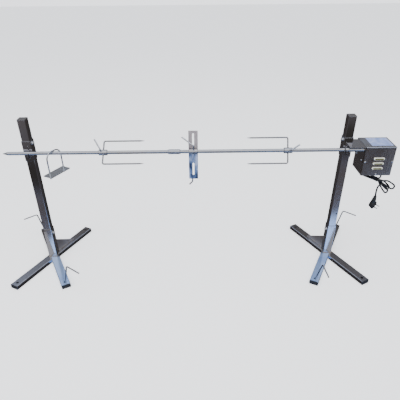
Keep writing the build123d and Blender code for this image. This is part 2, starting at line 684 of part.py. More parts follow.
with BuildPart() as can:
    cylinder_between((CAN_X, *ROTOR_AXIS), ALONG, CAN_LENGTH, CAN_RADIUS)
    cylinder_between((CAN_X + 3, *ROTOR_AXIS), ALONG, CAN_LENGTH - 6, CAN_RADIUS - 6, Mode.SUBTRACT)
    cylinder_between((CAN_X, *ROTOR_AXIS), ALONG, CAN_LENGTH, 2.0 + RUN_FIT, Mode.SUBTRACT)
save(can.part, "motor_can")

case_mid = (sum(CASE_Y) / 2, sum(CASE_Z) / 2)
case_size = (CASE_Y[1] - CASE_Y[0], CASE_Z[1] - CASE_Z[0])
with BuildPart() as case:
    with BuildSketch(shaft_plane(CASE_X, case_mid)):
        Rectangle(*case_size)
    extrude(amount=CASE_END_X - CASE_X)
    offset(amount=-CASE_WALL, openings=case.faces().sort_by(Axis.X)[-1])
    cylinder_between((CASE_X, *OUTPUT_AXIS), ALONG, CASE_WALL, BUSH_RADIUS + 0.1, Mode.SUBTRACT)
    cylinder_between((CASE_X, *IDLER_AXIS), ALONG, CASE_WALL, 2.0 + RUN_FIT, Mode.SUBTRACT)
save(case.part, "gearbox_case")

with BuildPart() as lid:
    with BuildSketch(shaft_plane(CASE_END_X, case_mid)):
        Rectangle(*case_size)
    extrude(amount=CAN_X - CASE_END_X)
    cylinder_between((CASE_END_X, *IDLER_AXIS), ALONG, 3, 2.0 + RUN_FIT, Mode.SUBTRACT)
    cylinder_between((CASE_END_X, *ROTOR_AXIS), ALONG, 3, 2.0 + RUN_FIT, Mode.SUBTRACT)
save(lid.part, "gearbox_lid")

# ---------------------------------------------------------------- mains cord
with BuildPart() as gland:
    with BuildSketch(Plane(origin=(GLAND.X, GLAND.Y, BOX_BOTTOM_Z), z_dir=(0, 0, -1))):
        Circle(7.0)
    with BuildSketch(Plane(origin=GLAND, z_dir=(0, 0, -1))):
        Circle(CORD_RADIUS + 0.8)
    loft()
    cylinder_between((GLAND.X, GLAND.Y, BOX_BOTTOM_Z), (0, 0, 1), SHEET + 2, 4.9)
save(gland.part, "cord_gland")

slope = radians(HANK_SLOPE)
HANK_ALONG = Vector(cos(slope), 0, -sin(slope))
HANK_ACROSS = Vector(sin(slope), 0, cos(slope))
# Place along the hank, then the section's height above its axis, half-height and half-depth.
HANK_STATIONS = (
    (-88, 0, 4, 8),
    (-78, 0, 9, 18),
    (-50, 0, 9, 17),
    (-16, 0, 8, 13),
    (0, 0, 7, 12),
    (16, 0, 8, 13),
    (44, 0, 17, 13),
    (78, -6, 26, 12),
    (98, -8, 12, 6),
)
with BuildPart() as hank:
    for place, height, half_height, half_depth in HANK_STATIONS:
        centre = HANK + HANK_ALONG * place + HANK_ACROSS * height
        with BuildSketch(Plane(origin=centre, x_dir=(0, 1, 0), z_dir=HANK_ALONG)):
            Ellipse(half_depth, half_height)
    loft()
save(hank.part, "cord_hank")

with BuildPart() as tie:
    with BuildSketch(Plane(origin=HANK - HANK_ALONG * 5, x_dir=(0, 1, 0), z_dir=HANK_ALONG)):
        Ellipse(14.3, 9.8)
        Ellipse(12.4, 7.9, mode=Mode.SUBTRACT)
    extrude(amount=10)
save(tie.part, "cord_tie")

TAIL = [
    Vector(1558, -4, 404),
    Vector(1550, -6, 388),
    Vector(1546, -9, 367),
    Vector(1547, -12, 343),
]


def cord_radii(points):
    """Arc radius at each corner: 0.45 of the shorter run over the tangent of half the turn."""
    radii = []
    for before, here, after in zip(points, points[1:], points[2:]):
        first = here - before
        second = after - here
        turn = radians(first.get_angle(second))
        radii.append(0.45 * min(first.length, second.length) / (sin(turn / 2) / cos(turn / 2)))
    return radii


tail_radii = cord_radii(TAIL)
with BuildPart() as cord:
    cylinder_between(GLAND, (0, 0, -1), 18, CORD_RADIUS)
    with BuildLine() as route:
        FilletPolyline(*TAIL, radius=tail_radii)
    with BuildSketch(Plane(origin=route.line @ 0, z_dir=route.line % 0)):
        Circle(CORD_RADIUS)
    sweep(path=route.line)
tube_length = 18 + sum(edge.length for edge in route.edges())
expected = pi * CORD_RADIUS**2 * tube_length
print("cord radii", [round(radius) for radius in tail_radii])
print("cord volume", round(cord.part.volume), "of", round(expected), "length", round(tube_length))
save(cord.part, "mains_cord")

# Angled plug: the lead comes in from above through a tapered sleeve, square to the pins.
PLUG_UP = Vector(-0.05, -0.28, 0.96).normalized()
PLUG_OUT = Vector(0.74, 0.62, 0.22).cross(PLUG_UP).normalized()
SLEEVE_LENGTH = 58.0                 # from the plug's axis to the sleeve's end
PLUG_DEPTH = 24.0
PLUG_FACE = TAIL[-1] - PLUG_UP * SLEEVE_LENGTH + PLUG_OUT * 12
with BuildPart() as plug:
    half_section = Plane(origin=PLUG_FACE, x_dir=PLUG_UP, z_dir=PLUG_UP.cross(-PLUG_OUT))
    with BuildSketch(half_section):
        with BuildLine():
            FilletPolyline((0, 0), (19.5, 0), (19.5, 9), (17, 12), (13.5, PLUG_DEPTH), (0, PLUG_DEPTH), radius=1.2)
            Line((0, PLUG_DEPTH), (0, 0))
        make_face()
    revolve(axis=Axis(PLUG_FACE, PLUG_OUT))
    with BuildSketch(Plane(origin=TAIL[-1], z_dir=-PLUG_UP)):
        Circle(CORD_RADIUS + 1.8)
    with BuildSketch(Plane(origin=TAIL[-1] - PLUG_UP * (SLEEVE_LENGTH - 14), z_dir=-PLUG_UP)):
        Circle(10)
    loft()
save(plug.part, "plug_body")

with BuildPart() as pins:
    with BuildSketch(Plane(origin=PLUG_FACE, x_dir=PLUG_UP.cross(PLUG_OUT), z_dir=PLUG_OUT)):
        with Locations((9.5, 0), (-9.5, 0)):
            Circle(2.4)
    extrude(amount=19)
    fillet(pins.faces().sort_by(Axis(PLUG_FACE, PLUG_OUT))[-2:].edges(), 1.5)
save(pins.part, "plug_pins")
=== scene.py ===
import math

import bpy
from mathutils import Matrix, Vector


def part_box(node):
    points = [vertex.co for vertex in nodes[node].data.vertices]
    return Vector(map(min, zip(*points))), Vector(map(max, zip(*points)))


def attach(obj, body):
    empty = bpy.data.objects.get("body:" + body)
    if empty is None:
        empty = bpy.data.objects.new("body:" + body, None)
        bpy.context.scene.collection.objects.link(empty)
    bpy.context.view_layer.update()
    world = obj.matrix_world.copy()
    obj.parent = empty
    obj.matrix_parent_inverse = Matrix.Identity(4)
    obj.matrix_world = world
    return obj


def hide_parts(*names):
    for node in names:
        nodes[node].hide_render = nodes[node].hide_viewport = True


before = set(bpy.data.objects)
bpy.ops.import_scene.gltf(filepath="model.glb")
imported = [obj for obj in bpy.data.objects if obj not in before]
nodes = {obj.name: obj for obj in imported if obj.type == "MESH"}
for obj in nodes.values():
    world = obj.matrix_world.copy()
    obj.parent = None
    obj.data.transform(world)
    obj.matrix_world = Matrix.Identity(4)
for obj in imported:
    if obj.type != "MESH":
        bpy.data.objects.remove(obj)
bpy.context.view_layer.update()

MM = 0.001
SPAN = 1.370                      # between the posts
SPIT_Y, SPIT_Z = -0.0324, 0.586   # the spit's axis
SIDES = {"left": 0.0, "right": SPAN}
INWARD = {"left": 1.0, "right": -1.0}
LEG_ANGLE = math.radians(27.6)
UP = Vector((0, 0, 1))
ALONG = Vector((1, 0, 0))


def mm(*values):
    """A vector given in millimetres."""
    return Vector(values) * MM


def radial(angle):
    """Unit vector square to the spit, at angle degrees from upright towards +Y."""
    return Vector((0, math.sin(math.radians(angle)), math.cos(math.radians(angle))))


# ---------------------------------------------------------------- materials
class Shader:
    """A Principled material that is built node by node."""

    def __init__(self, name, colour, roughness, metallic=0.0, **inputs):
        self.material = bpy.data.materials.new(name)
        self.material.use_nodes = True
        self.tree = self.material.node_tree
        self.principled = self.tree.nodes["Principled BSDF"]
        self.principled.inputs["Base Color"].default_value = (*colour, 1)
        self.principled.inputs["Roughness"].default_value = roughness
        self.principled.inputs["Metallic"].default_value = metallic
        for key, value in inputs.items():
            self.principled.inputs[key.replace("_", " ")].default_value = value
        self.place = self.new("ShaderNodeTexCoord").outputs["Object"]

    def new(self, kind, **settings):
        node = self.tree.nodes.new(kind)
        for key, value in settings.items():
            setattr(node, key, value)
        return node

    def link(self, start, end):
        self.tree.links.new(start, end)

    def mapped(self, scale, turn=(0, 0, 0)):
        """Object coordinates, turned and then scaled."""
        turned = self.new("ShaderNodeMapping", vector_type="POINT")
        turned.inputs["Rotation"].default_value = turn
        self.link(self.place, turned.inputs["Vector"])
        scaled = self.new("ShaderNodeMapping", vector_type="POINT")
        scaled.inputs["Scale"].default_value = scale
        self.link(turned.outputs["Vector"], scaled.inputs["Vector"])
        return scaled.outputs["Vector"]

    def noise(self, scale, detail=3.0, turn=(0, 0, 0), size=1.0):
        """Noise over turned and stretched object coordinates."""
        texture = self.new("ShaderNodeTexNoise")
        texture.inputs["Scale"].default_value = size
        texture.inputs["Detail"].default_value = detail
        self.link(self.mapped(scale, turn), texture.inputs["Vector"])
        return texture.outputs["Fac"]

    def ramp(self, value, *stops):
        """Colours or greys at places from 0 to 1."""
        ramp = self.new("ShaderNodeValToRGB")
        elements = ramp.color_ramp.elements
        while len(elements) < len(stops):
            elements.new(0.5)
        for element, (place, colour) in zip(elements, stops):
            element.position = place
            element.color = (*colour, 1) if hasattr(colour, "__len__") else (colour, colour, colour, 1)
        self.link(value, ramp.inputs["Fac"])
        return ramp.outputs["Color"]

    def mix(self, kind, amount, first, second):
        """Mix two colours; amount may be a number or a socket."""
        mix = self.new("ShaderNodeMix", data_type="RGBA", blend_type=kind)
        for socket, value in ((mix.inputs[0], amount), (mix.inputs[6], first), (mix.inputs[7], second)):
            if isinstance(value, bpy.types.NodeSocket):
                self.link(value, socket)
            else:
                socket.default_value = value if isinstance(value, float) else (*value, 1)
        return mix.outputs[2]

    def set(self, name, socket):
        self.link(socket, self.principled.inputs[name])

    def bump(self, height, strength, distance, edge=0.0):
        """Bump from a height, over rounded edges if edge is a radius."""
        bump = self.new("ShaderNodeBump")
        bump.inputs["Strength"].default_value = strength
        bump.inputs["Distance"].default_value = distance
        self.link(height, bump.inputs["Height"])
        if edge:
            bevel = self.new("ShaderNodeBevel", samples=4)
            bevel.inputs["Radius"].default_value = edge
            self.link(bevel.outputs["Normal"], bump.inputs["Normal"])
        self.link(bump.outputs["Normal"], self.principled.inputs["Normal"])


def steel(name, tone, roughness, grain, turn=(0, 0, 0), edge=0.0006, tint=(0.90, 0.93, 1.0), blue_reflection_below_y=None):
    """Drawn stainless steel: fine lines along the tube, cloudy smears and a few small stains.
    grain is the scale of the lines along each axis, before the turn. Below the Y given as the last argument,
    a pale blue reflection of the ground is painted into the colour, and the steel is made less metallic
    there."""
    shader = Shader(name, tone, roughness, metallic=1.0)
    lines = shader.noise(grain, detail=4.0, turn=turn)
    clouds = shader.noise((9, 9, 9), detail=5.0)
    stains = shader.noise((70, 70, 70), detail=6.0)
    base = shader.ramp(lines, (0.25, [0.90 * c for c in tone]), (0.75, tone))
    cooler = [c * t for c, t in zip(tone, tint)]
    cloudy = shader.mix("MIX", shader.ramp(clouds, (0.42, 0.0), (0.64, 0.8)), base, cooler)
    stained = shader.ramp(stains, (0.62, 0.0), (0.74, 0.45))
    dirt_and_reflection = shader.mix("MULTIPLY", stained, cloudy, (0.62, 0.57, 0.52))
    if blue_reflection_below_y is not None:
        # Painted reflection: the pale blue of the ground mirrored in the tube, painted into its colour
        # towards the front, with less metallic there.
        place = shader.new("ShaderNodeSeparateXYZ")
        shader.link(shader.place, place.inputs[0])
        share = shader.new("ShaderNodeMapRange")
        share.inputs["From Min"].default_value = blue_reflection_below_y + 0.01
        share.inputs["From Max"].default_value = blue_reflection_below_y - 0.01
        shader.link(place.outputs["Y"], share.inputs["Value"])
        painted_blue_reflection = shader.ramp(clouds, (0.35, (0.34, 0.50, 0.86)), (0.6, (0.50, 0.66, 0.97)))
        dirt_and_reflection = shader.mix("MIX", share.outputs["Result"], dirt_and_reflection, painted_blue_reflection)
        shader.set("Metallic", shader.ramp(share.outputs["Result"], (0.0, 1.0), (1.0, 0.72)))
    shader.set("Base Color", dirt_and_reflection)
    lined = shader.ramp(lines, (0.2, 0.7 * roughness), (0.8, 1.5 * roughness))
    clouded = shader.ramp(clouds, (0.35, 0.6 * roughness), (0.7, 2.0 * roughness))
    shader.set("Roughness", shader.mix("MIX", 0.35, lined, clouded))
    shader.bump(lines, 0.12, 0.0003, edge)
    return shader.material


FINE, LONG = 900, 7               # scale of the drawn lines across and along a tube
TUBE_TONE = (0.52, 0.51, 0.52)
SPIT_TONE = (0.54, 0.53, 0.53)
POST_STEEL = steel("post_steel", TUBE_TONE, 0.075, (FINE, FINE, LONG))
SHEET_STEEL = steel("sheet_steel", TUBE_TONE, 0.17, (FINE, FINE, LONG))
LEG_STEEL = {}
# Each leg gets its own tone: a painted reflection, lighter or darker by how that leg mirrors its
# surroundings. The long legs also get a painted pale blue reflection at their front ends.
for kind, side, lean, painted_reflection_tone in (("half", "left", 1, 0.95), ("half", "right", -1, 0.85),
                                 ("long", "left", -1, 0.8), ("long", "right", 1, 0.8)):
    LEG_STEEL[kind, side] = steel(
        f"{side}_{kind}_leg_steel", [c * painted_reflection_tone for c in TUBE_TONE], 0.10, (FINE, LONG, FINE),
        turn=(0, 0, lean * LEG_ANGLE), blue_reflection_below_y=-0.02 if kind == "long" else None)
SPIT_STEEL = steel("spit_steel", SPIT_TONE, 0.17, (LONG, FINE, FINE))
ROD_STEEL = steel("rod_steel", (0.30, 0.29, 0.29), 0.30, (160, 160, 160), edge=0.0)
BRIGHT_ROD = steel("bright_rod", (0.75, 0.75, 0.76), 0.22, (160, 160, 160), edge=0.0)
BOX_STEEL = steel("box_steel", (0.56, 0.56, 0.58), 0.26, (FINE, 12, FINE))
COVER_STEEL = steel("cover_steel", (0.38, 0.33, 0.285), 0.22, (FINE, FINE, 12), tint=(0.97, 0.97, 1.0))
# A lighter, bluer copy of the steel: a painted reflection on the leg bracket plate.
PLATE_REFLECTION_STEEL = steel("plate_steel_painted_reflection", (0.78, 0.82, 0.86), 0.22, (FINE, FINE, FINE))
# A lighter, warmer copy of the steel: a painted reflection on the gussets.
GUSSET_SHEEN_STEEL = steel("gusset_steel_painted_sheen", (0.85, 0.80, 0.76), 0.35, (FINE, FINE, FINE))
# Near white and only partly metallic: a painted highlight on the louvre lips.
LOUVRE_HIGHLIGHT = steel("louvre_painted_highlight", (0.95, 0.96, 0.84), 0.45, (200, 200, 200), edge=0.0)
LOUVRE_HIGHLIGHT.node_tree.nodes["Principled BSDF"].inputs["Metallic"].default_value = 0.35
BOLT_STEEL = steel("bolt_steel", (0.74, 0.74, 0.75), 0.18, (220, 220, 220), edge=0.0002)
GEAR_STEEL = steel("gear_steel", (0.52, 0.50, 0.47), 0.3, (300, 300, 300))
CASTING = steel("gear_casting", (0.55, 0.55, 0.56), 0.5, (200, 200, 200))
BRONZE = steel("bush_bronze", (0.36, 0.31, 0.25), 0.35, (300, 300, 300), tint=(1, 0.9, 0.8))
PIN_METAL = steel("pin_metal", (0.78, 0.78, 0.77), 0.16, (300, 300, 300), edge=0.0)


def weld_metal():
    """A ground weld: rough, with heat colours from straw to blue."""
    shader = Shader("weld_metal", (0.4, 0.4, 0.42), 0.34, metallic=1.0)
    heat = shader.noise((60, 60, 60), detail=2.0)
    pits = shader.noise((900, 900, 900), detail=3.0)
    shader.set("Base Color", shader.ramp(heat, (0.35, (0.45, 0.44, 0.44)), (0.5, (0.42, 0.34, 0.24)),
                                         (0.6, (0.25, 0.25, 0.34)), (0.72, (0.5, 0.5, 0.5))))
    shader.bump(pits, 0.5, 0.0003)
    return shader.material


def moulded(name, colour, roughness, grit=1400):
    """Moulded plastic or rubber with a fine grain and a little dust."""
    shader = Shader(name, colour, roughness)
    grain = shader.noise((grit, grit, grit), detail=2.0)
    dust = shader.noise((55, 55, 55), detail=5.0)
    dusty = [min(1, 0.01 + 1.5 * c) for c in colour]
    shader.set("Base Color", shader.mix("MIX", shader.ramp(dust, (0.5, 0.0), (0.75, 0.5)), colour, dusty))
    shader.set("Roughness", shader.ramp(dust, (0.4, roughness), (0.7, min(1, roughness + 0.2))))
    shader.bump(grain, 0.25, 0.0002)
    return shader.material


def brace_steel():
    """A polished sheet whose colour is a painted reflection: warm grey, with blue smears towards its lower
    end.
    """
    shader = Shader("brace_steel", (0.5, 0.5, 0.5), 0.30, metallic=0.5)
    height = shader.new("ShaderNodeSeparateXYZ")
    shader.link(shader.place, height.inputs[0])
    painted_reflection_mottle = shader.noise((28, 28, 14), detail=3.0)
    # Painted reflection: from warm grey above to pale blue below, by height.
    share = shader.new("ShaderNodeMapRange")
    share.inputs["From Min"].default_value = 0.600
    share.inputs["From Max"].default_value = 0.565
    shader.link(height.outputs["Z"], share.inputs["Value"])
    blue = shader.ramp(painted_reflection_mottle, (0.38, (0.03, 0.05, 0.12)), (0.5, (0.16, 0.24, 0.44)),
                       (0.66, (0.62, 0.72, 0.95)))
    grey = shader.ramp(painted_reflection_mottle, (0.35, (0.40, 0.36, 0.37)), (0.65, (0.52, 0.47, 0.48)))
    shader.set("Base Color", shader.mix("MIX", share.outputs["Result"], grey, blue))
    lines = shader.noise((FINE, FINE, LONG), detail=3.0)
    shader.bump(lines, 0.2, 0.0004, 0.0004)
    return shader.material


BRACE_STEEL = brace_steel()
WELD = weld_metal()
BLACK_PLASTIC = moulded("black_plastic", (0.009, 0.009, 0.011), 0.40)
CORD_RUBBER = moulded("cord_rubber", (0.006, 0.006, 0.008), 0.42, grit=2200)
# Near black on the spit's stop ring: painted shade for the dark gap beside the cradle.
STOP_RING_SHADE = moulded("stop_ring_painted_shade", (0.03, 0.032, 0.036), 0.55)
OLIVE = moulded("olive_shadow", (0.075, 0.072, 0.014), 0.8)


def label_material():
    """A blank foil label: pale blue, faintly mottled and banded."""
    shader = Shader("label_foil", (0.55, 0.62, 0.85), 0.32, metallic=0.25, Coat_Weight=0.4)
    mottle = shader.noise((45, 45, 45), detail=4.0)
    bands = shader.noise((60, 6, 6), detail=1.0)
    colour = shader.ramp(mottle, (0.32, (0.26, 0.36, 0.70)), (0.55, (0.36, 0.47, 0.82)),
                         (0.72, (0.55, 0.64, 0.92)))
    banded = shader.ramp(bands, (0.45, 0.0), (0.6, 0.3))
    shader.set("Base Color", shader.mix("MIX", banded, colour, (0.58, 0.60, 0.86)))
    shader.bump(mottle, 0.1, 0.0003)
    return shader.material


LABEL = label_material()

CAD_MATERIALS = {
    POST_STEEL: ("left_base_socket", "left_post", "left_collar", "right_base_socket", "right_post",
                 "right_collar", "post_caps"),
    SHEET_STEEL: ("left_cradle", "right_cradle", "motor_bracket"),
    GUSSET_SHEEN_STEEL: ("gussets",),
    BRACE_STEEL: ("brace_plate",),
    PLATE_REFLECTION_STEEL: ("leg_bracket_plate",),
    LEG_STEEL["half", "left"]: ("left_leg_halves",),
    LEG_STEEL["half", "right"]: ("right_leg_halves",),
    LEG_STEEL["long", "left"]: ("left_long_leg",),
    LEG_STEEL["long", "right"]: ("right_long_leg",),
    SPIT_STEEL: ("spit_point_half", "spit_drive_half", "spit_coupling", "drive_sleeve", "output_shaft",
                 "left_fork_hub", "right_fork_hub", "brace_hub"),
    BRIGHT_ROD: ("leg_bracket_rod",),
    ROD_STEEL: ("left_fork_tines", "right_fork_tines", "brace_hook", "left_front_peg",
                "left_back_peg", "right_front_peg", "right_back_peg"),
    BOLT_STEEL: ("left_fork_bolt", "right_fork_bolt", "brace_bolt", "sleeve_set_screw"),
    BOX_STEEL: ("motor_housing",),
    COVER_STEEL: ("motor_front_cover",),
    GEAR_STEEL: ("output_gear", "idler_gear", "motor_rotor"),
    CASTING: ("gearbox_case", "gearbox_lid", "motor_can"),
    BRONZE: ("shaft_bush",),
    PIN_METAL: ("plug_pins",),
    BLACK_PLASTIC: ("leg_end_plugs",),
    STOP_RING_SHADE: ("spit_stop_ring",),
}
for material, names in CAD_MATERIALS.items():
    for name in names:
        mesh = nodes[name].data
        mesh.materials.clear()
        mesh.materials.append(material)


# ---------------------------------------------------------------- mesh helpers
def mesh_piece(name, points, faces, material, body, smooth=35):
    """A mesh object that rides on a body; edges of up to smooth degrees are shaded smooth."""
    mesh = bpy.data.meshes.new(name)
    mesh.from_pydata([tuple(p) for p in points], [], faces)
    mesh.validate()
    mesh.materials.append(material)
    piece = bpy.data.objects.new(name, mesh)
    bpy.context.scene.collection.objects.link(piece)
    mesh.shade_smooth()
    bpy.context.view_layer.objects.active = piece
    for other in bpy.context.selected_objects:
        other.select_set(False)
    piece.select_set(True)
    bpy.ops.object.shade_smooth_by_angle(angle=math.radians(smooth))
    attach(piece, body)
    return piece


def frame_across(direction):
    """Two unit vectors square to a direction."""
    direction = direction.normalized()
    side = UP if abs(direction.z) < 0.9 else ALONG
    first = (side - direction * side.dot(direction)).normalized()
    return first, direction.cross(first)


def lofted(name, rings, material, body, smooth=35, closed=False):
    """A closed mesh through rings of equally many points; closed joins the last ring to the first."""
    count = len(rings[0])
    points = [p for ring in rings for p in ring]
    faces = []
    pairs = len(rings) if closed else len(rings) - 1
    for r in range(pairs):
        a, b = r * count, ((r + 1) % len(rings)) * count
        for i in range(count):
            j = (i + 1) % count
            faces.append((a + i, a + j, b + j, b + i))
    if not closed:
        faces.append(tuple(reversed(range(count))))
        faces.append(tuple(range(len(points) - count, len(points))))
    return mesh_piece(name, points, faces, material, body, smooth)


def ring(centre, direction, radius, count=32, shape=None):
    """A ring of points round a centre; shape(angle) is its radius where it isn't round."""
    first, second = frame_across(direction)
    points = []
    for i in range(count):
        angle = 2 * math.pi * i / count
        reach = shape(angle) if shape else radius
        points.append(centre + (first * math.cos(angle) + second * math.sin(angle)) * reach)
    return points


def lathed(name, start, direction, profile, material, body, count=32, smooth=35):
    """A turned piece: profile is a list of (place along, radius), from start along direction."""
    direction = direction.normalized()
    rings = [ring(start + direction * place, direction, radius, count) for place, radius in profile]
    return lofted(name, rings, material, body, smooth)


def bead(name, path, radius, body, closed=False, ripple=0.0035):
    """A weld bead: a thin tube along a path, with a swelling every ripple metres."""
    if closed:
        path = path + [path[0]]
    points, directions = [], []
    for start, end in zip(path, path[1:]):
        steps = max(2, int((end - start).length / (ripple / 4)))
        for i in range(steps):
            points.append(start.lerp(end, i / steps))
            directions.append((end - start).normalized())
    if not closed:
        points.append(path[-1])
        directions.append(directions[-1])
    rings = []
    run = 0.0
    for i, (point, direction) in enumerate(zip(points, directions)):
        if i:
            run += (point - points[i - 1]).length
        swell = 0.80 + 0.28 * abs(math.sin(math.pi * run / ripple))
        end_taper = 1.0 if closed else min(1.0, 0.35 + min(i, len(points) - 1 - i) * 0.2)
        blended = (directions[i - 1] + direction).normalized() if i or closed else direction
        rings.append(ring(point, blended, radius * swell * end_taper, 8))
    return lofted(name, rings, WELD, body, smooth=60, closed=closed)


def hexagon(half_flats, cap=1.0):
    """Radius by angle of a hexagon whose corners are cut off at the radius cap."""
    def shape(angle):
        within = (angle + math.pi / 6) % (math.pi / 3) - math.pi / 6
        return min(half_flats / math.cos(within), cap)
    return shape


def hex_bolt(name, face, direction, half_flats, height, body, replaces):
    """A hexagon head with its chamfer and washer face, on a flat washer."""
    washer = half_flats * 1.45
    corner = half_flats * 1.155
    profile = [
        (0, washer, None), (0.0004, washer * 1.02, None),
        (0.0014, washer * 1.02, None), (0.0017, washer, None),
        (0.0017, half_flats * 0.98, None), (0.0022, half_flats * 0.98, None),
        (0.0022, 0, corner), (height * 0.86, 0, corner), (height, 0, half_flats * 0.96),
        (height, 0, half_flats * 0.6), (height - 0.0005, 0, half_flats * 0.5),
    ]
    rings = []
    for place, radius, cap in profile:
        shape = hexagon(half_flats, cap) if cap else None
        rings.append(ring(face + direction * place, direction, radius, 48, shape))
    piece = lofted(name, rings, BOLT_STEEL, body, smooth=25)
    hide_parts(replaces)


def thread(name, start, direction, length, radius, body):
    """A threaded stretch of a rod: one helical ridge that runs out at both ends."""
    pitch, depth = 0.00125, 0.00045
    direction = direction.normalized()
    steps = int(length / (pitch / 6))
    rings = []
    for i in range(steps + 1):
        place = length * i / steps
        cut = min(1.0, min(place, length - place) / pitch + 0.05)

        def shape(angle, place=place, cut=cut):
            phase = (place / pitch - angle / (2 * math.pi)) % 1
            return radius - depth * cut * (1 - abs(2 * phase - 1)) - depth * (1 - cut)
        rings.append(ring(start + direction * place, direction, radius, 24, shape))
    return lofted(name, rings, BOLT_STEEL, body, smooth=70)


def pan_screw(face, direction, radius, height):
    """Rings of a domed screw head with a cross recess."""
    dome = ((1.0, 0.0), (1.0, 0.35), (0.93, 0.68), (0.78, 0.88), (0.58, 0.98), (0.5, 1.0))
    rings = [ring(face + direction * height * rise, direction, radius * share) for share, rise in dome]
    # The recess: points near the cross's arms stay out, and the others pull in.
    for share, rise in ((1.0, 0.96), (0.75, 0.45)):

        def recess(angle, share=share):
            arm = abs((angle % (math.pi / 2)) - math.pi / 4) / (math.pi / 4)
            return radius * (0.46 if arm > 0.7 else 0.17) * share
        rings.append(ring(face + direction * height * rise, direction, radius, shape=recess))
    return rings


# ---------------------------------------------------------------- camera, floor and light
CAMERA_PLACE = (0.7165, -1.6352, 1.3066)
CAMERA_ANGLES = (30.98, 0.489, 0.472)   # degrees down, to the right, and of roll
FOCAL_LENGTH = 36.815                   # in millimetres, on a sensor of 36
CAMERA_SHIFT = 0.0023

camera_data = bpy.data.cameras.new("camera")
camera_data.sensor_width = 36
camera_data.lens = FOCAL_LENGTH
camera_data.shift_x = CAMERA_SHIFT
camera = bpy.data.objects.new("camera", camera_data)
pitch, yaw, roll = (math.radians(angle) for angle in CAMERA_ANGLES)
view = Vector((math.sin(yaw) * math.cos(pitch), math.cos(yaw) * math.cos(pitch), -math.sin(pitch)))
level = Vector((math.cos(yaw), -math.sin(yaw), 0))
drop = view.cross(level)
right = level * math.cos(roll) + drop * math.sin(roll)
down = drop * math.cos(roll) - level * math.sin(roll)
camera_axes = Matrix((right, -down, -view)).transposed().to_4x4()
camera.matrix_world = Matrix.Translation(CAMERA_PLACE) @ camera_axes
bpy.context.scene.collection.objects.link(camera)
bpy.context.scene.camera = camera


def luminous(name, strength):
    """A white backdrop material with some light of its own."""
    shader = Shader(name, (0.85, 0.85, 0.85), 0.9)
    shader.principled.inputs["Emission Color"].default_value = (1, 1, 1, 1)
    shader.principled.inputs["Emission Strength"].default_value = strength
    return shader.material


FLOOR = 12.0                # half the floor's width
BACKDROP_RADIUS = 16.0
floor_mesh = bpy.data.meshes.new("floor")
floor_corners = [(-FLOOR, -FLOOR, 0), (FLOOR, -FLOOR, 0), (FLOOR, FLOOR, 0), (-FLOOR, FLOOR, 0)]
floor_mesh.from_pydata(floor_corners, [], [(0, 1, 2, 3)])
floor_mesh.materials.append(luminous("studio_floor", 0.85))
floor = bpy.data.objects.new("floor", floor_mesh)
bpy.context.scene.collection.objects.link(floor)
bpy.ops.mesh.primitive_uv_sphere_add(segments=48, ring_count=24, radius=BACKDROP_RADIUS, location=(0.7, 0, 0))
backdrop = bpy.context.object
backdrop.name = "backdrop"
backdrop.data.materials.append(luminous("studio_backdrop", 1.5))
backdrop.data.shade_smooth()
backdrop.visible_diffuse = False
backdrop.visible_shadow = False
for piece in (floor, backdrop):
    # The steel mirrors the world below, not the backdrop.
    piece.visible_glossy = False


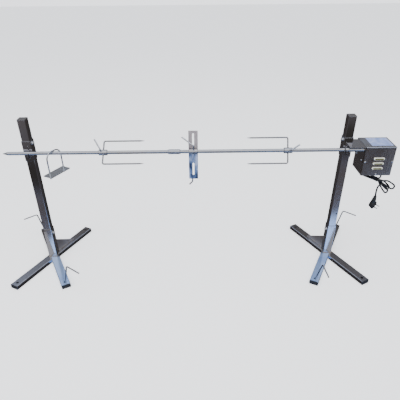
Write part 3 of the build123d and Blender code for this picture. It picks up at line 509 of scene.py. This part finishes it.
def studio_world():
    """What the polished steel mirrors: pale light overhead and grey surroundings, with a pale
    blue band low down in front."""
    world = bpy.data.worlds.new("studio")
    bpy.context.scene.world = world
    world.use_nodes = True
    tree = world.node_tree
    background = tree.nodes["Background"]

    def node(kind, **settings):
        made = tree.nodes.new(kind)
        for key, value in settings.items():
            setattr(made, key, value)
        return made

    def ramp(value, stops):
        made = node("ShaderNodeValToRGB")
        elements = made.color_ramp.elements
        while len(elements) < len(stops):
            elements.new(0.5)
        for element, (height, colour) in zip(elements, stops):
            element.position = (height + 1) / 2
            element.color = (*colour, 1)
        tree.links.new(value, made.inputs["Fac"])
        return made.outputs["Color"]

    place = node("ShaderNodeTexCoord")
    wobble = node("ShaderNodeTexNoise")
    wobble.inputs["Scale"].default_value = 3.0
    wobble.inputs["Detail"].default_value = 3.0
    tree.links.new(place.outputs["Generated"], wobble.inputs["Vector"])
    # The height is z - 0.07 x and a little wobble, taken from -1..1 to 0..1.
    lean = node("ShaderNodeVectorMath", operation="DOT_PRODUCT")
    lean.inputs[1].default_value = (-0.07, 0, 1)
    tree.links.new(place.outputs["Generated"], lean.inputs[0])
    sway = node("ShaderNodeMath", operation="MULTIPLY_ADD")
    sway.inputs[1].default_value = 0.10
    sway.inputs[2].default_value = -0.05
    tree.links.new(wobble.outputs["Fac"], sway.inputs[0])
    height = node("ShaderNodeMath", operation="ADD")
    tree.links.new(lean.outputs["Value"], height.inputs[0])
    tree.links.new(sway.outputs[0], height.inputs[1])
    unit = node("ShaderNodeMapRange")
    unit.inputs["From Min"].default_value = -1.0
    tree.links.new(height.outputs[0], unit.inputs["Value"])

    near = ramp(unit.outputs["Result"], (
        (-1.00, (0.05, 0.055, 0.065)),
        (-0.75, (0.10, 0.11, 0.14)),
        (-0.70, (0.80, 1.20, 2.10)),
        (-0.540, (1.20, 1.75, 3.00)),
        (-0.533, (0.19, 0.175, 0.19)),
        (-0.46, (0.15, 0.135, 0.145)),
        (-0.437, (0.20, 0.20, 0.25)),
        (-0.427, (0.05, 0.047, 0.045)),
        (-0.37, (0.06, 0.055, 0.05)),
        (-0.34, (0.16, 0.15, 0.16)),
        (-0.10, (0.26, 0.24, 0.245)),
        (0.06, (0.20, 0.19, 0.19)),
        (0.28, (0.90, 0.94, 1.02)),
        (0.75, (1.60, 1.62, 1.68)),
    ))
    far = ramp(unit.outputs["Result"], (
        (-1.00, (0.05, 0.05, 0.06)),
        (-0.30, (0.070, 0.062, 0.062)),
        (0.00, (0.12, 0.11, 0.11)),
        (0.30, (0.26, 0.26, 0.27)),
        (0.45, (0.28, 0.28, 0.30)),
        (0.50, (0.16, 0.145, 0.135)),
        (0.565, (0.17, 0.155, 0.15)),
        (0.61, (0.26, 0.26, 0.29)),
        (0.66, (0.48, 0.54, 0.70)),
        (0.71, (0.95, 1.14, 1.50)),
        (1.00, (1.40, 1.44, 1.52)),
    ))
    split = node("ShaderNodeSeparateXYZ")
    tree.links.new(place.outputs["Generated"], split.inputs[0])
    side = node("ShaderNodeMapRange")
    side.inputs["From Min"].default_value = -0.42
    side.inputs["From Max"].default_value = -0.12
    tree.links.new(split.outputs["Y"], side.inputs["Value"])
    both = node("ShaderNodeMix", data_type="RGBA")
    tree.links.new(side.outputs["Result"], both.inputs[0])
    tree.links.new(near, both.inputs[6])
    tree.links.new(far, both.inputs[7])
    tree.links.new(both.outputs[2], background.inputs["Color"])
    background.inputs["Strength"].default_value = 1.0


studio_world()


def soft_box(name, place, target, size, power):
    """A square area light that faces a target."""
    data = bpy.data.lights.new(name, "AREA")
    data.shape = "SQUARE"
    data.size = size
    data.energy = power
    light = bpy.data.objects.new(name, data)
    light.location = place
    light.rotation_euler = (Vector(target) - Vector(place)).to_track_quat("-Z", "Y").to_euler()
    light.visible_glossy = False
    bpy.context.scene.collection.objects.link(light)


soft_box("key", (0.7, -0.6, 3.4), (0.7, 0, 0), 3.6, 95)
soft_box("fill", (-1.6, -1.8, 2.2), (0.6, 0, 0.4), 1.6, 22)

# ---------------------------------------------------------------- mains lead
CORD = 0.0074                     # the lead's diameter
HANK = mm(1540, 5, 422)           # the hank's middle, at its tie
SLOPE = math.radians(27)          # its fall towards the right
HANK_ALONG = Vector((math.cos(SLOPE), 0, -math.sin(SLOPE)))
HANK_ACROSS = Vector((math.sin(SLOPE), 0, math.cos(SLOPE)))
GLAND = mm(1557, 5, 442)
TAIL = [mm(1550, -6, 388), mm(1546, -9, 367), mm(1547, -12, 343)]   # down to the plug


def in_hank(along, across, depth):
    """A point in the hank, in millimetres along it, up across it and away from the front."""
    return HANK + HANK_ALONG * along * MM + HANK_ACROSS * across * MM + mm(0, depth, 0)


# Each turn lies in a layer of its own. It says the right loop's reach, its height at the end
# and halfway, and half its opening; then the left fold's reach, its depth and the next depth.
TURNS = (
    (85, -13, -2, 9.0, -78, 7.5, 0),
    (87, -29, -12, 9.0, -81, 0, -7.5),
    (97, 3, 8, 11.0, -85, -7.5, -14),
)
FOLD = 9.0     # the left folds' radius


def half_turn(along, across, radius, start, sweep, first_depth, last_depth):
    """Six points of a half circle in the hank, just outside the curve that they draw. It turns
    from start, in degrees, towards the side that sweep gives."""
    reach = 1.035 * radius
    points = []
    for i in range(6):
        angle = math.radians(start + sweep * (15 + 30 * i))
        depth = first_depth + (last_depth - first_depth) * i / 5
        points.append(in_hank(along + reach * math.cos(angle), across + reach * math.sin(angle), depth))
    return points


# The lead comes straight down from the gland and bends left into the bundle.
route = [GLAND, mm(1557, 5, 436), mm(1558, 7, 429), mm(1555, 10, 423.5), mm(1548.5, 12.3, 422.3)]
for reach, end_height, mid_height, half, left, layer, next_layer in TURNS:
    far_height = 0.5 * (mid_height + end_height)
    tilt = math.degrees(math.atan2(end_height - mid_height, 0.5 * reach))
    route += [in_hank(0, 3.8, layer), in_hank(-20, 4.4, layer), in_hank(-42, 6.6, layer),
              in_hank(left + 2 * FOLD, 8.6, layer)]
    route += half_turn(left + FOLD, 0, FOLD, 90, 1, layer, layer)
    route += [in_hank(left + 2 * FOLD, -8.6, layer), in_hank(-42, -6.6, layer), in_hank(-20, -4.4, layer),
              in_hank(0, -3.8, layer), in_hank(0.24 * reach, 0.3 * mid_height + 0.2 * half, layer),
              in_hank(0.48 * reach, mid_height + half, 0.9 * layer),
              in_hank(0.70 * reach, far_height + half, 0.8 * layer)]
    route += half_turn(reach - half, end_height, half, 90 + tilt, -1, 0.7 * layer, 0.7 * next_layer)
    route += [in_hank(0.68 * reach, far_height - 1.1 * half, 0.8 * next_layer),
              in_hank(0.44 * reach, mid_height - 0.9 * half, 0.9 * next_layer),
              in_hank(0.20 * reach, 0.3 * mid_height - 1.5, next_layer + 3.7)]
# After the last turn, the lead drops to the plug instead of going round again.
route.pop()
route += [in_hank(31, -4, -14), in_hank(25.5, -9, -15), in_hank(24, -16, -14)] + TAIL

lead = bpy.data.curves.new("mains_lead", "CURVE")
lead.dimensions = "3D"
lead.bevel_depth = CORD / 2
lead.bevel_resolution = 5
lead.resolution_u = 8
spline = lead.splines.new("NURBS")
spline.points.add(len(route) - 1)
for point, place in zip(spline.points, route):
    point.co = (*place, 1)
spline.order_u = 4
spline.use_endpoint_u = True
lead.materials.append(CORD_RUBBER)
mains_lead = bpy.data.objects.new("mains_lead", lead)
bpy.context.scene.collection.objects.link(mains_lead)
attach(mains_lead, "right_carriage")
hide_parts("mains_cord", "cord_hank")

# The gland: a ribbed, tapered strain relief with a flange against the box.
gland_profile = [(-0.0012, 0.0055), (0, 0.0088), (0.0022, 0.0088), (0.0030, 0.0076)]
for i in range(6):
    place = 0.004 + i * 0.0036
    radius = 0.0071 - 0.0005 * i
    gland_profile += [(place, radius - 0.0009), (place + 0.0006, radius), (place + 0.0022, radius),
                      (place + 0.0028, radius - 0.0009)]
gland_profile += [(0.0262, 0.0046), (0.0266, 0.0038)]
gland = lathed("strain_relief", mm(1557, 5, 468), -UP, gland_profile, BLACK_PLASTIC, "right_carriage")
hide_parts("cord_gland")

# The tie: four turns of coated wire round the bundle.
TIE_TURNS, TIE_STEPS = 4, 40
TIE_HALF_HEIGHT, TIE_HALF_DEPTH, TIE_WIDTH = 8.6, 13.2, 8.4
tie_rings = []
for i in range(TIE_TURNS * TIE_STEPS + 1):
    angle = 2 * math.pi * i / TIE_STEPS
    along = TIE_WIDTH * (i / (TIE_TURNS * TIE_STEPS) - 0.5)
    centre = in_hank(along, TIE_HALF_HEIGHT * math.sin(angle), TIE_HALF_DEPTH * math.cos(angle))
    later = angle + 0.1
    ahead = in_hank(along + 0.05, TIE_HALF_HEIGHT * math.sin(later), TIE_HALF_DEPTH * math.cos(later))
    tie_rings.append(ring(centre, ahead - centre, 0.0011, 8))
tie = lofted("wire_tie", tie_rings, BLACK_PLASTIC, "right_carriage", smooth=60)
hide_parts("cord_tie")

# The plug: a round body with a rim, and a ribbed sleeve that is square to the pins.
PLUG_UP = Vector((-0.05, -0.28, 0.96)).normalized()
PLUG_OUT = Vector((0.74, 0.62, 0.22)).cross(PLUG_UP).normalized()
SLEEVE = 0.058                    # the sleeve's length
PLUG_FACE = TAIL[-1] - PLUG_UP * SLEEVE + PLUG_OUT * 0.012
plug_profile = [
    (0.0000, 0.0010), (0.0000, 0.0160), (-0.0006, 0.0180), (-0.0018, 0.0192), (-0.0090, 0.0196),
    (-0.0100, 0.0188), (-0.0108, 0.0180), (-0.0135, 0.0173), (-0.0195, 0.0156), (-0.0225, 0.0140),
    (-0.0238, 0.0112), (-0.0240, 0.0060), (-0.0238, 0.0010),
]
plug = lathed("angled_plug", PLUG_FACE, PLUG_OUT, plug_profile, BLACK_PLASTIC, "right_carriage",
              count=48)
sleeve_profile = [(0.0, 0.0038), (0.0006, 0.0054)]
for i in range(7):
    place = 0.0016 + i * 0.0034
    radius = 0.0060 + 0.0005 * i
    sleeve_profile += [(place, radius - 0.0008), (place + 0.0005, radius), (place + 0.0020, radius),
                       (place + 0.0026, radius - 0.0008)]
sleeve_profile += [(0.027, 0.0088), (0.034, 0.0104), (0.044, 0.0116), (SLEEVE, 0.0112)]
sleeve = lathed("plug_sleeve", TAIL[-1], -PLUG_UP, sleeve_profile, BLACK_PLASTIC, "right_carriage")
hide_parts("plug_body")
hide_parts("plug_body")
across_pins = PLUG_UP.cross(PLUG_OUT).normalized()
collar_profile = [(-0.001, 0.0030), (0.0006, 0.0030), (0.0010, 0.0026), (0.0080, 0.0025), (0.0083, 0.0022)]
for side, sign in (("near", 1), ("far", -1)):
    root = PLUG_FACE + across_pins * 0.0095 * sign
    lathed(f"pin_collar_{side}", root, PLUG_OUT, collar_profile, BLACK_PLASTIC, "right_carriage",
           count=24)
for side, sign in (("near", 1), ("far", -1)):
    middle = PLUG_FACE - PLUG_OUT * 0.0015 + across_pins * 0.0192 * sign
    rings = [ring(middle + PLUG_UP * (0.002 * i), PLUG_UP, 0.0012, 10) for i in (-2, -1, 0, 1, 2)]
    lofted(f"grip_rib_{side}", rings, BLACK_PLASTIC, "right_carriage")

# ---------------------------------------------------------------- bolts, nuts, screws and threads
HALF_FLATS, HEAD_HEIGHT = 0.0065, 0.0058
for side, post_x in SIDES.items():
    inward = Vector((INWARD[side], 0, 0))
    face = Vector((post_x, 0, 0)) + inward * 0.020
    hex_bolt(f"{side}_socket_bolt", face + UP * 0.152, inward, HALF_FLATS, HEAD_HEIGHT, "stands",
             "socket_bolts")
    hex_bolt(f"{side}_collar_bolt_head", face + UP * 0.620 + inward * 0.0002, inward, HALF_FLATS,
             HEAD_HEIGHT, f"{side}_collar_bolt", f"{side}_collar_bolt")

# The handled bolts are threaded on their straight stems and along the right fork's handle. Each
# stem has its place along the spit, its angle, and its thread's start and length.
STEMS = {
    "left_fork_bolt": (0.316, 53 - 90, 0.011, 0.010),
    "right_fork_bolt": (1.119, 27 - 90, 0.011, 0.010),
    "brace_bolt": (0.709, -35, 0.011, 0.026),
}
for name, (x, angle, start, length) in STEMS.items():
    outward = radial(angle)
    thread(f"{name}_thread", Vector((x, SPIT_Y, SPIT_Z)) + outward * start, outward, length, 0.00325, name)
corner = Vector((1.119, SPIT_Y, SPIT_Z)) + radial(-63) * 0.030
reach = Vector((0.037, 0, 0)) + radial(27) * 0.022
thread("right_fork_handle_thread", corner + reach * 0.24, reach, reach.length * 0.74, 0.00330,
       "right_fork_bolt")

# Hexagon nuts and threads on the leg bracket, at the plate.
U_TURN = math.radians(29)
U_ACROSS = Vector((math.sin(U_TURN), math.cos(U_TURN), 0))
PLATE_Z = 0.494
nut_profile = [(0.0002, 0.0048), (0.0010, 0.0058), (0.0042, 0.0058), (0.0050, 0.0048)]
for place, sign in (("back", 1), ("front", -1)):
    foot = Vector((0.111, SPIT_Y, PLATE_Z)) + U_ACROSS * 0.0395 * sign
    rings = [ring(foot - UP * drop, -UP, 0, 48, hexagon(0.0050, cap)) for drop, cap in nut_profile]
    nut = lofted(f"leg_bracket_nut_{place}", rings, BOLT_STEEL, "leg_clamp", smooth=25)
    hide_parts("leg_bracket_nuts")
    thread(f"leg_bracket_thread_{place}", foot - UP * 0.0136, UP, 0.075, 0.00318, "leg_bracket")

# Pan-head screws on the box's front and on its bracket.
BOX_X, BOX_END_X, BOX_FRONT = 1.441, 1.570, -0.048
LOUVRE_X = 1.5055                 # the middle of the box's front
screws = [(Vector((x, BOX_FRONT, z)), Vector((0, -1, 0))) for x, z in
          ((BOX_X + 0.006, 0.534), (BOX_END_X - 0.006, 0.534), (LOUVRE_X, 0.4735))]
screws += [(Vector((BOX_X - 0.003, y, z)), Vector((-1, 0, 0))) for y, z in
           ((0.042, 0.588), (0.036, 0.539), (-0.024, 0.533))]
for i, (face, direction) in enumerate(screws):
    rings = pan_screw(face, direction, 0.0045, 0.0027)
    screw = lofted(f"housing_screw_{i}", rings, BOLT_STEEL, "right_carriage", 30)
    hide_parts("housing_screws")

# ---------------------------------------------------------------- louvre lips
def stadium(centre, half_length, half_width, height):
    """Points round a slot shape on the box's front, at a height above the face."""
    straight = half_length - half_width
    points = []
    for i in range(40):
        angle = 2 * math.pi * (i + 0.5) / 40
        x = half_width * math.cos(angle) + (straight if math.cos(angle) > 0 else -straight)
        points.append(centre + Vector((x, -height, half_width * math.sin(angle))))
    return points


lathed("top_lip_edge", Vector((BOX_X + 0.0005, BOX_FRONT - 0.0006, 0.6016)), ALONG,
       [(0, 0.0008), (0.0003, 0.0012), (0.1277, 0.0012), (0.128, 0.0008)], BRIGHT_ROD, "right_carriage",
       count=16)
# Half the length, half the width and the height of each step of a lip and its slot.
LIP_OUTSIDE = ((0.0232, 0.0050, 0.0), (0.0231, 0.0049, 0.0030), (0.0228, 0.0047, 0.0037),
               (0.0225, 0.0044, 0.0040))
LIP_INSIDE = ((0.0192, 0.0032, 0.0040), (0.0190, 0.0030, 0.0034))
SLOT_FLOOR = ((0.0191, 0.0031, 0.0033), (0.0190, 0.0030, 0.0041))
for i, z in enumerate((0.549, 0.5265, 0.504)):
    centre = Vector((LOUVRE_X, BOX_FRONT, z))
    slot = centre - UP * 0.0010
    rings = [stadium(centre, *step) for step in LIP_OUTSIDE]
    rings += [stadium(slot, *step) for step in LIP_INSIDE]
    # Each lip's near-white colour is a painted highlight.
    lofted(f"louvre_lip_{i}", rings, LOUVRE_HIGHLIGHT, "right_carriage", smooth=50)
    rings = [stadium(slot, *step) for step in SLOT_FLOOR]
    lofted(f"louvre_slot_{i}", rings, OLIVE, "right_carriage", smooth=50)

# ---------------------------------------------------------------- blank label
low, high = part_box("rating_label")
ROUNDING = 0.004                  # radius of the label's corners
LABEL_HALF = 0.045                # about half its size
outline = []
for x, y, start in ((high.x - ROUNDING, high.y - ROUNDING, 0), (low.x + ROUNDING, high.y - ROUNDING, 90),
                    (low.x + ROUNDING, low.y + ROUNDING, 180), (high.x - ROUNDING, low.y + ROUNDING, 270)):
    for step in range(7):
        angle = math.radians(start + 15 * step)
        outline.append(Vector((x + ROUNDING * math.cos(angle), y + ROUNDING * math.sin(angle), 0)))
middle = Vector(((low.x + high.x) / 2, (low.y + high.y) / 2, 0))
rings = []
for z, inset in ((low.z, 0.0), (low.z + 0.0005, 0.0), (high.z, 0.0012), (high.z - 0.0001, 0.004)):
    share = 1 - inset / LABEL_HALF
    rings.append([middle + (point - middle) * share + UP * z for point in outline])
label = lofted("blank_label", rings, LABEL, "right_carriage", smooth=30)
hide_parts("rating_label")

# ---------------------------------------------------------------- welds
WALL = 0.0202                     # from a tube's middle to a bead on its side
LEG_TOP = 0.0203                  # height of a bead on the legs
BRACKET_TOP = 0.6012
for side, post_x in SIDES.items():
    foot = Vector((post_x, 0, 0))
    square = [foot + Vector((x * WALL, y * WALL, LEG_TOP)) for x, y in ((-1, -1), (1, -1), (1, 1), (-1, 1))]
    bead(f"{side}_socket_weld", square, 0.0019, "stands", closed=True)
    inward = INWARD[side]
    halves = Vector((-inward * math.sin(LEG_ANGLE), -math.cos(LEG_ANGLE), 0))
    long_leg = Vector((inward * math.sin(LEG_ANGLE), -math.cos(LEG_ANGLE), 0))
    for end in (1, -1):
        # Where a half leg meets the long leg's side: its two edges, up, over and down.
        side_line = long_leg.cross(UP)
        if side_line.dot(halves * end) <= 0:
            side_line = -side_line
        edges = []
        for edge in (1, -1):
            across = halves.cross(UP) * 0.019 * edge
            slide = (WALL - across.dot(side_line)) / (halves * end).dot(side_line)
            edges.append(foot + across + halves * end * slide)
        path = [edges[0] + UP * 0.003, edges[0] + UP * 0.0200, edges[1] + UP * 0.0200, edges[1] + UP * 0.003]
        bead(f"{side}_leg_weld_{'front' if end > 0 else 'back'}", path, 0.0017, "stands")
    for name, leg in (("long", -long_leg), ("half", -halves)):
        across = leg.cross(UP) * 0.0017
        for edge, sign in (("near", 1), ("far", -1)):
            start = foot + leg * 0.0235 + across * sign + UP * LEG_TOP
            bead(f"{side}_{name}_gusset_weld_{edge}", [start + leg * 0.012, start + leg * 0.112], 0.0014,
                 "stands")

for side, x, tilt in (("left", 0.324, 53), ("right", 1.111, 27)):
    for turn in (0, 180):
        outward = radial(tilt + turn)
        base = Vector((x, SPIT_Y, SPIT_Z)) + outward * 0.0118
        path = ring(base, outward, 0.0034, 12)
        bead(f"{side}_tine_weld_{turn}", path, 0.0011, f"{side}_fork", closed=True, ripple=0.0025)

for side, x in (("left", 0.0035), ("right", 1.3605)):
    for place, offset in (("inner", -0.0002), ("outer", 0.0032)):
        base = Vector((x + offset, -0.0203, 0))
        bead(f"{side}_cradle_weld_{place}", [base + UP * 0.561, base + UP * 0.611], 0.0012,
             f"{side}_carriage")
bead("bracket_weld_top", [Vector((1.3905, -0.016, BRACKET_TOP)), Vector((1.3905, 0.016, BRACKET_TOP))],
     0.0015, "right_carriage")
bead("bracket_weld_front", [Vector((1.376, -0.0204, BRACKET_TOP)), Vector((1.386, -0.0204, BRACKET_TOP))],
     0.0013, "right_carriage")
for edge, offset in (("upper", 0.0110), ("lower", -0.0110)):
    ends = [Vector((x, -0.0220, SPIT_Z + offset)) for x in (0.690, 0.724)]
    bead(f"brace_weld_{edge}", ends, 0.0012, "brace")
